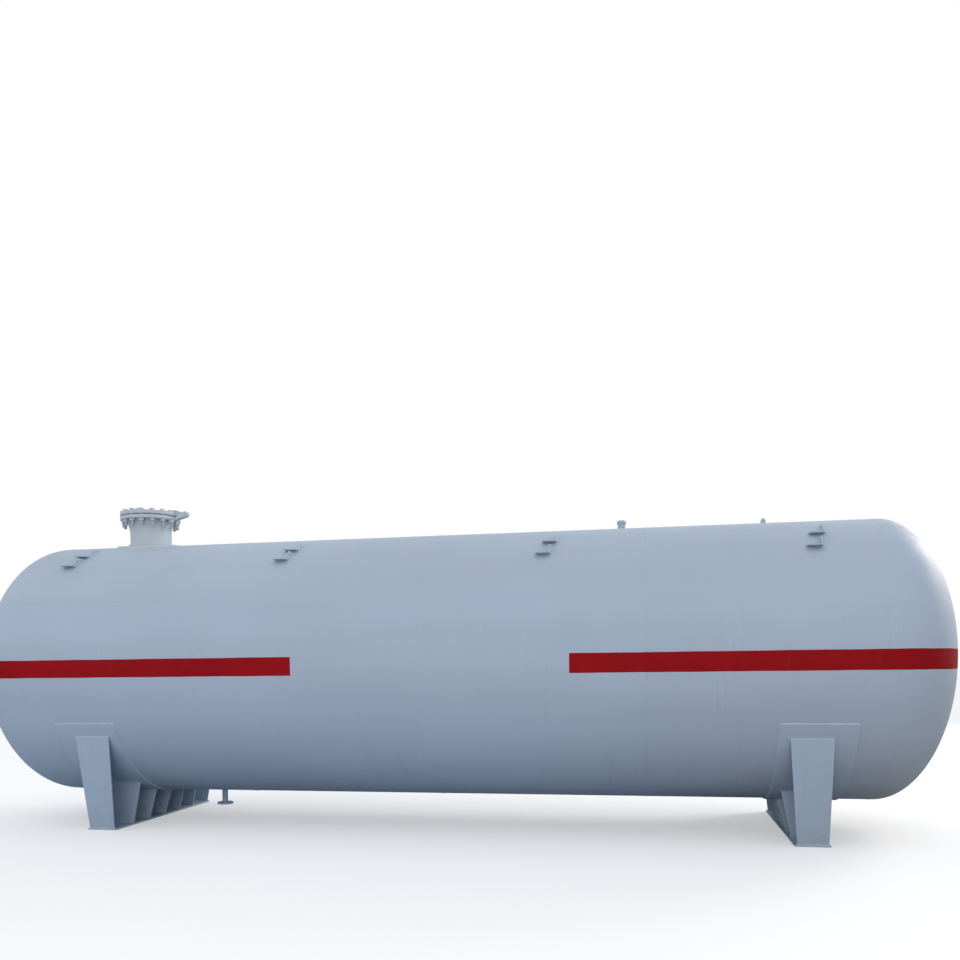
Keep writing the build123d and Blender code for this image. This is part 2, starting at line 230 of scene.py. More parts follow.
def soft_lamp(name, place, aim, side, power, tint):
    """Square area lamp at a place, aimed at a point."""
    lamp = bpy.data.lights.new(name, "AREA")
    lamp.shape = "SQUARE"
    lamp.size = side
    lamp.energy = power
    lamp.color = tint
    holder = bpy.data.objects.new(name, lamp)
    bpy.context.scene.collection.objects.link(holder)
    holder.location = place
    holder.rotation_euler = (aim - place).to_track_quat("-Z", "Y").to_euler()
    print(name, power, "W over", side, "m")


tank_middle = Vector((0.0, 0.0, axis_z))
right_end = Vector((3.0, 0.0, 2.4))
yard_middle = Vector((1.0, -17.0, 3.0))
to_low_sun = Vector((0.663, 0.618, 0.423))
low_sun = right_end + SUN_DISTANCE * to_low_sun
soft_lamp("front_lamp", yard_middle, tank_middle, 9.0, 470.0, yard_tint)
soft_lamp("low_sun", low_sun, right_end, 6.0, 1300.0, sun_tint)

bpy.context.scene.view_settings.view_transform = "Standard"

# %% [markdown]
# The paint is one pale blue-grey coat over primer, sprayed in overlapping passes on site. It has
# a fine orange peel, is weathered to satin and a little chalky on top where the rain stands, and
# the rolled plates under it are never quite true, which breaks up the reflections. All of that is
# noise at the scale of the real thing, in metres. A picture of paint would be quicker, but it
# would stretch over the dished ends. The manway's coat is a paler, greyer copy of the shell's:
# that is painted light, for the brighter light that falls on the manway up on top.

# %% Paint for the steelwork
RUN_STRENGTH = 0.10
SPLASH_HEIGHT = 0.26
DULLED_BY_DUST = 0.5
rain_streak = (0.19, 0.18, 0.16, 1.0)
pale_dust = (0.50, 0.48, 0.44, 1.0)
yard_mud = (0.27, 0.235, 0.19, 1.0)


def noise(tree, place, scale, detail=3.0, roughness=0.5, stretch=(1.0, 1.0, 1.0)):
    """Noise from 0 to 1 in the tank's own metres, stretched if asked."""
    vector = node(tree, "Mapping", {"Vector": place, "Scale": stretch}).outputs[0]
    sockets = {"Vector": vector, "Scale": scale, "Detail": detail, "Roughness": roughness}
    return node(tree, "TexNoise", sockets).outputs["Fac"]


def grey(tree, value):
    """A grey colour socket from a number socket."""
    return node(tree, "CombineColor", {"Red": value, "Green": value, "Blue": value}).outputs[0]


def bumped(tree, height, strength, depth, **under):
    """Normal of a surface with a relief of this depth in metres, over another one if given."""
    sockets = {"Height": height, "Strength": strength, "Distance": depth, **under}
    return node(tree, "Bump", sockets).outputs[0]


def finish_coat(tree, output, sockets):
    """Ends a material in one surface with these inputs."""
    surface = node(tree, "BsdfPrincipled", sockets)
    tree.links.new(surface.outputs[0], output.inputs["Surface"])


def paint(name, colour, gloss, ground_dust, top_dust, wave):
    """Sprayed paint on plate: tone, runs, dust, orange peel and waviness."""
    material, tree, output = new_material(name)
    place = node(tree, "TexCoord").outputs["Object"]
    height = node(tree, "SeparateXYZ", {0: place}).outputs["Z"]
    normal = node(tree, "NewGeometry").outputs["Normal"]
    facing = node(tree, "SeparateXYZ", {0: normal}).outputs["Z"]

    clouds = ramp(tree, noise(tree, place, 0.5, 3.0), 0.3, 0.7, 0.965, 1.03)
    overlaps = noise(tree, place, 1.0, 2.0, stretch=(0.3, 3.2, 3.2))
    passes = ramp(tree, overlaps, 0.3, 0.7, 0.98, 1.018)
    mottle = ramp(tree, noise(tree, place, 46.0, 4.0, 0.6), 0.3, 0.7, 0.985, 1.012)
    tone = chain(tree, "MULTIPLY", clouds, passes, mottle)
    coat = blend_colour(tree, 1.0, colour, grey(tree, tone), "MULTIPLY")

    runs = ramp(tree, noise(tree, place, 1.0, 3.0, 0.6, (21.0, 0.9, 0.9)), 0.56, 0.76)
    side = ramp(tree, facing, 0.75, -0.2)
    run_share = chain(tree, "MULTIPLY", runs, side, RUN_STRENGTH)
    coat = blend_colour(tree, run_share, coat, rain_streak)

    patches = ramp(tree, noise(tree, place, 5.5, 5.0, 0.65), 0.35, 0.75)
    up = ramp(tree, facing, 0.35, 0.95)
    top_share = chain(tree, "MULTIPLY", up, patches, top_dust)
    coat = blend_colour(tree, top_share, coat, pale_dust)

    low = ramp(tree, height, SPLASH_HEIGHT, 0.0)
    splash = ramp(tree, noise(tree, place, 17.0, 6.0, 0.7), 0.38, 0.68)
    low_share = chain(tree, "MULTIPLY", low, splash, ground_dust)
    coat = blend_colour(tree, low_share, coat, yard_mud)

    dust = chain(tree, "ADD", top_share, low_share)
    dull = chain(tree, "MULTIPLY", dust, DULLED_BY_DUST)
    clean = noise(tree, place, 3.0, 5.0, 0.6)
    rough = chain(tree, "ADD", ramp(tree, clean, 0.25, 0.75, gloss - 0.05, gloss + 0.07), dull)

    peel = noise(tree, place, 420.0, 2.0)
    plate = noise(tree, place, 1.7, 2.0)
    wavy = bumped(tree, plate, 1.0, wave)
    relief = bumped(tree, peel, 0.25, 0.0004, Normal=wavy)
    sockets = {"Base Color": coat, "Roughness": rough, "Normal": relief}
    finish_coat(tree, output, {**sockets, "Specular IOR Level": 0.4})
    return material


shell_blue_grey = (0.385, 0.470, 0.585, 1.0)
saddle_blue_grey = (0.395, 0.492, 0.612, 1.0)
# The manway's paler, greyer coat is painted light: a lit copy of the shell's blue-grey.
manway_lit_grey = (0.474, 0.536, 0.597, 1.0)
shell_paint = paint("shell_paint_coat", shell_blue_grey, 0.56, 0.25, 0.30, 0.004)
saddle_paint = paint("saddle_paint_coat", saddle_blue_grey, 0.50, 0.34, 0.20, 0.0015)
manway_lit_paint = paint("manway_lit_paint_coat", manway_lit_grey, 0.50, 0.25, 0.30, 0.0005)
print("paints:", shell_paint.name, saddle_paint.name, manway_lit_paint.name)

# %% [markdown]
# The red band is brushed on over the blue-grey coat, so it is thicker, a little duller and less
# even in tone. Red pigment chalks in the sun: the dusty film lies on it in soft vertical streaks.

# %% Band paint
band_red = (0.300, 0.0045, 0.0085, 1.0)
pink_chalk = (0.45, 0.36, 0.34, 1.0)


def band_coat():
    """Brushed red paint with a chalky film."""
    material, tree, output = new_material("band_paint_coat")
    place = node(tree, "TexCoord").outputs["Object"]
    drawn = noise(tree, place, 1.0, 4.0, 0.6, (2.2, 2.2, 90.0))
    strokes = ramp(tree, drawn, 0.3, 0.7, 0.93, 1.06)
    clouds = ramp(tree, noise(tree, place, 1.3, 3.0), 0.3, 0.7, 0.92, 1.06)
    tone = chain(tree, "MULTIPLY", strokes, clouds)
    coat = blend_colour(tree, 1.0, band_red, grey(tree, tone), "MULTIPLY")
    streaks = noise(tree, place, 1.0, 4.0, 0.6, (14.0, 14.0, 1.5))
    coat = blend_colour(tree, ramp(tree, streaks, 0.5, 0.85, 0.0, 0.02), coat, pink_chalk)
    rough = ramp(tree, noise(tree, place, 6.0, 4.0), 0.3, 0.7, 0.64, 0.76)
    brush = noise(tree, place, 1.0, 3.0, 0.6, (12.0, 12.0, 420.0))
    relief = bumped(tree, brush, 0.35, 0.0004)
    sockets = {"Base Color": coat, "Roughness": rough, "Normal": relief}
    finish_coat(tree, output, {**sockets, "Specular IOR Level": 0.08})
    return material


band_paint = band_coat()
print("band:", band_paint.name)

# %% [markdown]
# Bolts and nuts are hot-dip zinc: bright when new, then a mottled pale grey with a few brown
# specks where the zinc is thin. The gasket between flange and cover is a dark pressed fibre sheet,
# and only its edge is seen.

# %% Zinc and gasket
pale_zinc = (0.50, 0.54, 0.59, 1.0)
rust_brown = (0.16, 0.075, 0.035, 1.0)


def zinc_coat():
    """Weathered hot-dip zinc with a spangle and a few rust specks."""
    material, tree, output = new_material("weathered_zinc")
    place = node(tree, "TexCoord").outputs["Object"]
    spangle = node(tree, "TexVoronoi", {"Vector": place, "Scale": 160.0}).outputs["Color"]
    value = node(tree, "SeparateColor", {"Color": spangle}).outputs[0]
    grains = ramp(tree, value, 0.0, 1.0, 0.92, 1.08)
    film = ramp(tree, noise(tree, place, 60.0, 4.0), 0.3, 0.7, 0.88, 1.08)
    tone = chain(tree, "MULTIPLY", grains, film)
    coat = blend_colour(tree, 1.0, pale_zinc, grey(tree, tone), "MULTIPLY")
    specks = ramp(tree, noise(tree, place, 210.0, 5.0, 0.7), 0.66, 0.76, 0.0, 0.30)
    coat = blend_colour(tree, specks, coat, rust_brown)
    rough = ramp(tree, value, 0.0, 1.0, 0.42, 0.62)
    relief = bumped(tree, noise(tree, place, 700.0, 3.0), 0.3, 0.0003)
    sockets = {"Base Color": coat, "Roughness": rough, "Normal": relief}
    finish_coat(tree, output, {**sockets, "Metallic": 0.25})
    return material


def gasket_sheet():
    """Dark pressed fibre, seen at its cut edge."""
    material, tree, output = new_material("gasket_sheet")
    place = node(tree, "TexCoord").outputs["Object"]
    fibres = noise(tree, place, 1.0, 4.0, 0.6, (90.0, 90.0, 1500.0))
    tone = ramp(tree, fibres, 0.3, 0.7, 0.022, 0.048)
    relief = bumped(tree, fibres, 0.4, 0.0003)
    sockets = {"Base Color": grey(tree, tone), "Roughness": 0.85, "Normal": relief}
    finish_coat(tree, output, sockets)
    return material


zinc = zinc_coat()
print("zinc and gasket ready")

# %% Coat the steel pieces
coats = {
    "shell_paint": shell_paint,
    "saddle_paint": saddle_paint,
    "gasket": gasket_sheet(),
    "bare_steel": zinc,
}
slot_of = {part["node"]: part["material_slot"] for part in frame["record"]["subparts"]}
for name, piece in frame["nodes"].items():
    # Manway pieces in shell paint get the lit copy: painted light for the manway up on top.
    takes_lit_paint = name.startswith("manway_") and slot_of[name] == "shell_paint"
    piece.material_slots[0].material = manway_lit_paint if takes_lit_paint else coats[slot_of[name]]
print("coated", len(frame["nodes"]), "pieces")

# %% [markdown]
# Weld metal, paint bands, nuts and threads have one thing in common: each is a section carried
# along a path. So one function turns a grid of points, path along the rows and section round the
# columns, into a closed solid. numpy works out thousands of points at once, which a loop over
# vertices would do slowly, and bpy only receives the finished lists.

# %% From a grid of points to a closed solid
TO_LEFT = (-1.0, 0.0, 0.0)
TO_RIGHT = (1.0, 0.0, 0.0)
UP = (0.0, 0.0, 1.0)
DOWN = (0.0, 0.0, -1.0)
SHARP_ANGLE = 35.0


def unit(vectors):
    """Vectors of length one."""
    vectors = np.asarray(vectors, float)
    return vectors / np.linalg.norm(vectors, axis=-1, keepdims=True)


def grid_solid(points, ring=False):
    """Vertices and faces of points (rows, columns, 3); columns close, and rows in a ring."""
    rows, columns = points.shape[:2]
    row = np.arange(rows if ring else rows - 1)[:, None]
    column = np.arange(columns)[None, :]
    next_row = (row + 1) % rows
    next_column = (column + 1) % columns
    corners = (
        row * columns + column,
        next_row * columns + column,
        next_row * columns + next_column,
        row * columns + next_column,
    )
    faces = np.stack(corners, axis=-1).reshape(-1, 4)
    flat = points.reshape(-1, 3)
    a, b, c, d = (flat[faces[:, k]] for k in range(4))
    middle = flat.mean(axis=0)
    volume = np.einsum("ij,ij->i", (a + c) / 2 - middle, np.cross(c - a, d - b)).sum()
    faces = faces.tolist()
    if not ring:
        faces.append(list(range(columns))[::-1])
        faces.append(list(range((rows - 1) * columns, rows * columns)))
    if volume < 0:
        faces = [face[::-1] for face in faces]
    return flat, faces


def add_piece(name, solids, material, sharp_angle=SHARP_ANGLE):
    """Joins closed solids into one mesh object that rides on the tank."""
    vertices = np.concatenate([points for points, faces in solids])
    faces = []
    start = 0
    for points, own_faces in solids:
        faces += [[start + corner for corner in face] for face in own_faces]
        start += len(points)
    mesh = bpy.data.meshes.new(name)
    mesh.from_pydata(vertices.tolist(), [], faces)
    mesh.polygons.foreach_set("use_smooth", [True] * len(mesh.polygons))
    mesh.set_sharp_from_angle(angle=math.radians(sharp_angle))
    mesh.materials.append(material)
    piece = bpy.data.objects.new(name, mesh)
    bpy.context.scene.collection.objects.link(piece)
    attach(piece, "root")
    print(name, len(faces), "faces")


# %% [markdown]
# A weld bead lies in the corner between two plates. At each step along its path, one leg lies on
# the first plate and one on the second, and the face between them bulges. The welder's hand shows
# as crescent ripples, each ending in a small step, and as a slow change of width. The back of each
# bead is sunk a little into the corner, so that no light comes through.

# %% Weld beads
BEAD_COLUMNS = 7
RIPPLE_PITCH = 0.009
FINE_STEP = 0.003
WIDE_STEP = 0.009
SLOW_WAVES = (17.0, 41.0, 83.0)
SLOW_SHARE = 0.04
CRESCENT_CURVE = 0.9
CRESCENT_WIDTH = 0.05
CRESCENT_HEIGHT = 0.5
SUNK_SHARE = 0.25


def spaced(path, step, ring, fields):
    """Resamples a path, and directions given along it, at an even step."""
    path = np.asarray(path, float)
    table = [path] + [np.broadcast_to(np.asarray(field, float), path.shape) for field in fields]
    if ring:
        table = [np.vstack([values, values[:1]]) for values in table]
    lengths = np.linalg.norm(np.diff(table[0], axis=0), axis=1)
    along = np.concatenate([[0.0], np.cumsum(lengths)])
    count = max(2, round(along[-1] / step) + (0 if ring else 1))
    places = np.linspace(0.0, along[-1], count, endpoint=not ring)
    made = []
    for values in table:
        made.append(np.stack([np.interp(places, along, axis) for axis in values.T], axis=1))
    return places, made[0], made[1:]


def bead(path, first, second, leg, bulge, outward=None, step=FINE_STEP, ring=False, seed=1):
    """One weld bead; first and second point from the corner along the two plates."""
    fields = [unit(first), unit(second)]
    fields.append(unit(fields[0] + fields[1]) if outward is None else unit(outward))
    along, root, fields = spaced(path, step, ring, fields)
    first, second, outward = (unit(field)[:, None, :] for field in fields)
    across = np.linspace(0.0, 1.0, BEAD_COLUMNS)[None, :, None]
    chance = np.random.default_rng(seed)
    turns = along[:, None, None] * 2 * math.pi / (along[-1] + step)
    slow = 0.0
    for wave in SLOW_WAVES:
        cycles = max(1, round(wave * along[-1] / (2 * math.pi)))
        slow = slow + SLOW_SHARE * np.sin(turns * cycles + chance.uniform(0.0, 2 * math.pi))
    bent = CRESCENT_CURVE * (2 * across - 1) ** 2
    crescent = (along[:, None, None] / RIPPLE_PITCH + bent) % 1.0 - 0.5
    size = leg * (1.0 + slow + CRESCENT_WIDTH * crescent)
    height = bulge * (1.0 + slow + CRESCENT_HEIGHT * crescent) * 4 * across * (1 - across)
    corner = root[:, None, :]
    face = corner + size * ((1 - across) * first + across * second) + height * outward
    back = corner - SUNK_SHARE * leg * outward
    return grid_solid(np.concatenate([face, back], axis=1), ring)


def around(x, angle, radius):
    """Points on a circle about the tank's axis; the angle is 0 at the bottom, + to the back."""
    angle = np.asarray(angle, float)
    x = np.broadcast_to(x, angle.shape)
    return np.stack([x, radius * np.sin(angle), axis_z - radius * np.cos(angle)], axis=-1)


def away_from_axis(points):
    """Unit vectors square to the shell at points on it."""
    return unit((np.asarray(points) - (0.0, 0.0, axis_z)) * (0.0, 1.0, 1.0))


print("bead section:", BEAD_COLUMNS + 1, "points")

# %% [markdown]
# The rings are joined by machine, in wide flat beads that run right round. Each ring is closed by
# one seam along it, and neighbouring rings are turned so that those seams never meet. The first
# ring shows its seam on the near side, half a metre above the band. The others have it at the
# back.

# %% Seams of the shell
SEAM_HALF_WIDTH = 0.011
SEAM_RISE = 0.0020
RING_SEAM_ANGLES = (-119.8, 124.0, 114.0, 130.0)
full_turn = np.linspace(0.0, 2 * math.pi, 720, endpoint=False)


def seam(path, first, second, ring, seed):
    """Wide flat bead along a path on the shell."""
    square = away_from_axis(path)
    return bead(path, first, second, SEAM_HALF_WIDTH, SEAM_RISE, square, WIDE_STEP, ring, seed)


solids = []
for number, x in enumerate(seams):
    ring_path = around(x, full_turn, shell_radius)
    solids.append(seam(ring_path, TO_LEFT, TO_RIGHT, True, number))
add_piece("shell_girth_seams", solids, shell_paint)

solids = []
for number, degrees in enumerate(RING_SEAM_ANGLES):
    angle = math.radians(degrees)
    ends = around(np.array(seams[number:number + 2]), np.full(2, angle), shell_radius)
    tangent = np.array([0.0, math.cos(angle), math.sin(angle)])
    solids.append(seam(ends, tangent, -tangent, False, 20 + number))
add_piece("shell_long_seams", solids, shell_paint)

# %% [markdown]
# A saddle is welded all round: its pad to the shell, the web and ribs to the pad, to each other
# and to the base plate. The plates' places are read from their boxes. Only the right saddle is
# worked out. The left one is its mirror image, moved to the left pad.

# %% Welds of the saddles
SADDLE_LEG = 0.009
PAD_EDGE_LEG = 0.0125
RIB_TOP_LEG = 0.012
OUTER_FOOT_LEG = 0.007
SADDLE_BULGE = 0.0012
PLATE = 0.012
PAD_CORNER = 0.020
RIB_FOOT_WIDTH = 0.268
END_RIB_INSET = 0.008
WRAP_ANGLE = math.radians(60.0)

pad_low, pad_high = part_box("saddle_right_pad")
left_pad_low, left_pad_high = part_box("saddle_left_pad")
web_low, web_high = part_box("saddle_right_web")
base_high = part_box("saddle_right_base")[1]
end_low, end_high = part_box("saddle_right_end_rib_far")
pad_radius = axis_z - pad_low.z
floor_z = base_high.z
foot_x = web_high.x - RIB_FOOT_WIDTH
horn = np.array([pad_radius * math.sin(WRAP_ANGLE), end_high.z])
foot = np.array([base_high.y - END_RIB_INSET - PLATE, floor_z])
lean = unit(horn - foot)
run = PLATE / lean[1]
rib_names = [name for name in frame["nodes"] if name.startswith("saddle_right_rib_")]
rib_places = [sum(corner.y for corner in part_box(name)) / 2 for name in rib_names]


def pad_outline():
    """Edge of the pad on the shell, as a closed path."""
    corner_turn = np.linspace(0.0, math.pi / 2, 12)
    corner_z = pad_high.z - PAD_CORNER + PAD_CORNER * np.sin(corner_turn)
    corner = np.arccos((axis_z - corner_z) / shell_radius)
    bend = PAD_CORNER * (1.0 - np.cos(corner_turn))
    edge = np.linspace(-corner[0], corner[0], 400)
    outboard = np.full(edge.shape, pad_high.x)
    inboard = np.full(edge.shape, pad_low.x)
    x = [outboard, pad_high.x - bend, (pad_low.x + bend)[::-1], inboard]
    x += [pad_low.x + bend, (pad_high.x - bend)[::-1]]
    angle = [edge, corner, corner[::-1], edge[::-1], -corner, -corner[::-1]]
    return around(np.concatenate(x), np.concatenate(angle), shell_radius)


def saddle_beads(mirror, shift):
    """Every bead of one saddle: those of the right one, times mirror and moved by shift."""
    solids = []

    def weld(path, first, second, leg=SADDLE_LEG, ring=False):
        path, first, second = (np.asarray(v, float) * mirror for v in (path, first, second))
        rest = (SADDLE_BULGE, None, FINE_STEP, ring, 100 + len(solids))
        solids.append(bead(path + shift, first, second, leg, *rest))

    path = pad_outline()
    square = away_from_axis(path)
    ahead = unit(np.roll(path, -1, axis=0) - np.roll(path, 1, axis=0))
    weld(path, np.cross(square, ahead), square, PAD_EDGE_LEG, True)

    arc = np.linspace(-WRAP_ANGLE, WRAP_ANGLE, 300)
    for x, away in ((web_low.x, TO_LEFT), (web_high.x, TO_RIGHT)):
        path = around(x, arc, pad_radius)
        weld(path, away, away_from_axis(path))
        weld([(x, -foot[0], floor_z), (x, foot[0], floor_z)], away, UP)

    for middle in rib_places:
        for away in (-1.0, 1.0):
            y = middle + away * PLATE / 2
            angle = math.asin(y / pad_radius)
            top_z = axis_z - pad_radius * math.cos(angle)
            along_pad = away * np.array([0.0, math.cos(angle), math.sin(angle)])
            sideways = (0.0, away, 0.0)
            weld([(end_low.x, y, top_z), (web_low.x, y, top_z)], along_pad, DOWN)
            weld([(foot_x, y, floor_z), (web_low.x, y, floor_z)], sideways, UP)
            weld([(web_low.x, y, floor_z), (web_low.x, y, top_z)], sideways, TO_LEFT)

    for end in (-1.0, 1.0):
        flip = np.array([1.0, end, 1.0])
        leaning = flip * (0.0, lean[0], lean[1])
        up_pad = flip * (0.0, math.cos(WRAP_ANGLE), math.sin(WRAP_ANGLE))
        outside = flip * (0.0, 1.0, 0.0)
        top = [flip * (end_low.x, *horn), flip * (web_high.x, *horn)]
        inner_foot = [flip * (foot_x, *foot), flip * (web_high.x, *foot)]
        outer_foot = [point + outside * run for point in inner_foot]
        corner = [flip * (web_low.x, *foot), flip * (web_low.x, *horn)]
        weld(top, up_pad, outside, RIB_TOP_LEG)
        weld(top, -up_pad, -leaning)
        weld(inner_foot, -outside, leaning)
        weld(outer_foot, outside, leaning, OUTER_FOOT_LEG)
        weld(corner, -outside, TO_LEFT)
    return solids


move = (left_pad_low.x + left_pad_high.x + pad_low.x + pad_high.x) / 2
right_beads = saddle_beads((1.0, 1.0, 1.0), (0.0, 0.0, 0.0))
left_beads = saddle_beads((-1.0, 1.0, 1.0), (move, 0.0, 0.0))
add_piece("saddle_right_welds", right_beads, saddle_paint)
add_piece("saddle_left_welds", left_beads, saddle_paint)

# %% [markdown]
# Where a pipe stands on a shell, the corner between them isn't a circle but a saddle curve: its
# two sides lie lower than its ends. The height of each point follows from the shell's radius, so
# one function serves the manway, the two couplings and, upside down, the drain.

# %% Welds of the manway and the small fittings
FITTING_BULGE = 0.0014
circle = np.linspace(0.0, 2 * math.pi, 240, endpoint=False)
outward_all_round = np.stack([np.cos(circle), np.sin(circle), np.zeros(len(circle))], axis=1)


def ring_on_shell(x, radius, seat, leg, up=1.0, seed=1, bulge=FITTING_BULGE):
    """Fillet round an upright pipe or plate on a surface of radius seat about the axis."""
    path = (x, 0.0, axis_z) + radius * outward_all_round
    path[:, 2] += up * np.sqrt(seat ** 2 - path[:, 1] ** 2)
    square = away_from_axis(path)
    rising = (outward_all_round * square).sum(axis=1, keepdims=True) * square
    along_shell = outward_all_round - rising
    return bead(path, along_shell, (0.0, 0.0, up), leg, bulge, ring=True, seed=seed)


def flat_ring(x, y, z, radius, leg, seed):
    """Fillet round an upright bar or pipe on a level plate."""
    path = (x, y, z) + radius * outward_all_round
    return bead(path, outward_all_round, UP, leg, FITTING_BULGE, ring=True, seed=seed)


def middle_and_radius(box):
    """Middle and radius, along the tank, of the upright round piece in a box."""
    low, high = box
    return (low.x + high.x) / 2, (high.x - low.x) / 2


cover_low, cover_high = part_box("manway_cover")
flange_low, flange_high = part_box("manway_flange")
handle_low, handle_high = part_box("manway_handle")
arm_low, arm_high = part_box("manway_hinge_arm")
ears_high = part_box("manway_hinge_ears")[1]
manway_x, neck_radius = middle_and_radius(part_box("manway_neck"))
ring_radius = middle_and_radius(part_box("manway_pad"))[1]
rim_radius = (cover_high.x - cover_low.x) / 2

MANWAY_LEG = 0.034
MANWAY_HOLLOW = -0.006
MANWAY_PAD_LEG = 0.012
MANWAY_PAD_PLATE = 0.0163
HUB_LEG = 0.009
HUB_BULGE = 0.0018
FLANGE_PLATE = 0.040
HANDLE_BAR = 0.020
HANDLE_LEG = 0.006
ARM_LEG = 0.008
ARM_SLOPE = (0.055, 0.0, 0.028)
EAR_PLATE = 0.012
EAR_LEG = 0.006
RIM_EDGE = 0.006
DRAIN_LEG = 0.006
under_flange = flange_high.z - FLANGE_PLATE

on_ring = shell_radius + MANWAY_PAD_PLATE
hub_ring = (manway_x, 0.0, flange_low.z) + neck_radius * outward_all_round
manway_welds = [
    ring_on_shell(manway_x, ring_radius, shell_radius, MANWAY_PAD_LEG, seed=31),
    ring_on_shell(manway_x, neck_radius, on_ring, MANWAY_LEG, 1.0, 32, MANWAY_HOLLOW),
    bead(hub_ring, DOWN, UP, HUB_LEG, HUB_BULGE, outward_all_round, ring=True, seed=33),
]

bar = HANDLE_BAR / 2
handle_x = (handle_low.x + handle_high.x) / 2
for y in (handle_low.y + bar, handle_high.y - bar):
    manway_welds.append(flat_ring(handle_x, y, cover_high.z, bar, HANDLE_LEG, 34))


def hinge_bead(first_end, last_end, first, second, leg, seed):
    """Straight fillet at the hinge."""
    manway_welds.append(bead([first_end, last_end], first, second, leg, FITTING_BULGE, seed=seed))


cover_z = cover_high.z
for side in (-1.0, 1.0):
    y = side * arm_high.y
    arm_end = (manway_x + rim_radius - RIM_EDGE, y, cover_z)
    hinge_bead((arm_low.x, y, cover_z), arm_end, (0.0, side, 0.0), UP, ARM_LEG, 35)
    for y, away in ((side * ears_high.y, side), (side * (ears_high.y - EAR_PLATE), -side)):
        x = manway_x + math.sqrt(rim_radius ** 2 - y ** 2)
        low_end = (x, y, under_flange + RIM_EDGE)
        high_end = (x, y, flange_high.z - 2 * RIM_EDGE)
        hinge_bead(low_end, high_end, (0.0, away, 0.0), TO_RIGHT, EAR_LEG, 36)
arm_corners = (arm_low.x, arm_low.y, cover_z), (arm_low.x, arm_high.y, cover_z)
hinge_bead(*arm_corners, TO_LEFT, ARM_SLOPE, ARM_LEG, 37)
add_piece("manway_welds", manway_welds, manway_lit_paint)

fitting_welds = []
fittings = (
    ("vent_coupling", 0.009, 1.0),
    ("gauge_coupling", 0.008, 1.0),
    ("drain_neck", 0.009, -1.0),
)
for name, leg, way in fittings:
    middle, radius = middle_and_radius(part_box(name))
    fitting_welds.append(ring_on_shell(middle, radius, shell_radius, leg, way, seed=41))
drain_x, pipe_radius = middle_and_radius(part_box("drain_neck"))
drain_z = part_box("drain_flange")[1].z
fitting_welds.append(flat_ring(drain_x, 0.0, drain_z, pipe_radius, DRAIN_LEG, 42))
add_piece("fitting_welds", fitting_welds, shell_paint)

# %% [markdown]
# Each cleat is a ledge welded above and below to the shell, closed by an upright plate across its
# right end. The lower corner is sharp and takes a deep bead, the upper one is wide and takes a
# flat one: the same function makes both, because it only follows the two plates' directions.

# %% Welds of the pipe cleats
CLEAT_PLATE = 0.010
CLEAT_REACH = 0.080
CLEAT_LENGTH = 0.120
CLEAT_HEIGHT = 0.090
CLEAT_LEG = 0.008
CLEAT_BULGE = 0.001
LUG_LEG = 0.006
LUG_BULGE = 0.0008


def shell_y(z):
    """How far the shell's surface is from the middle plane at a height."""
    return np.sqrt(shell_radius ** 2 - (np.asarray(z) - axis_z) ** 2)


def cleat_beads(left_x, bottom, sign, seed):
    """Beads of one cleat from the left end and the underside of its ledge."""
    beads = []
    right_x = left_x + CLEAT_LENGTH
    top = bottom + CLEAT_PLATE
    for z, up in ((top, 1.0), (bottom, -1.0)):
        y = float(shell_y(z))
        along_shell = up * np.array([0.0, -sign * (z - axis_z), y])
        ends = [(left_x, sign * y, z), (right_x, sign * y, z)]
        out = (0.0, sign, 0.0)
        beads.append(bead(ends, along_shell, out, CLEAT_LEG, CLEAT_BULGE, seed=seed))
    for x, start, away in ((right_x, top, TO_LEFT), (right_x + CLEAT_PLATE, bottom, TO_RIGHT)):
        z = np.linspace(start, bottom + CLEAT_HEIGHT, 12)
        path = np.stack([np.full(z.shape, x), sign * shell_y(z), z], axis=1)
        square = away_from_axis(path)
        beads.append(bead(path, away, square, LUG_LEG, LUG_BULGE, seed=seed + 10))
    middle = bottom + CLEAT_PLATE / 2
    slope = (middle - axis_z) / float(shell_y(middle))
    edge_y = float(shell_y(middle)) + CLEAT_REACH - CLEAT_PLATE * slope
    ends = [(right_x, sign * float(shell_y(top)), top), (right_x, sign * edge_y, top)]
    beads.append(bead(ends, TO_LEFT, UP, LUG_LEG, LUG_BULGE, seed=seed + 20))
    return beads


solids = []
for number in range(1, 5):
    for side, sign in (("near", -1.0), ("far", 1.0)):
        low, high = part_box(f"cleats_{side}_{number}")
        upper_x = high.x - CLEAT_PLATE - CLEAT_LENGTH
        solids += cleat_beads(low.x, low.z, sign, 50 + number)
        solids += cleat_beads(upper_x, high.z - CLEAT_HEIGHT, sign, 55 + number)
add_piece("cleat_welds", solids, shell_paint)

# %% [markdown]
# The band is a coat of its own, so it is made as one: a film that follows the shell, climbs over
# each seam and runs on round the dished end. On the real tank it marks the middle line on both
# sides and stops short of the painted field in the middle. The film is half a millimetre proud
# of the steel and its back is sunk in it, which keeps the two surfaces from flickering.

# %% Red bands
BAND_LOW = -0.084
BAND_HIGH = 0.087
BAND_FILM = 0.0005
BAND_SUNK = 0.0010
BAND_ROWS = 9
BAND_STEP = 0.06
LEFT_BAND_END = -1.166
RIGHT_BAND_END = 1.384
EDGE_WANDER = 0.0007
NEAR_SEAM = 0.013
OVER_SEAM = 1.25
HEAD_FLANGE = 0.040
head_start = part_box("head_right")[0].x + HEAD_FLANGE
head_depth = tank_end - head_start


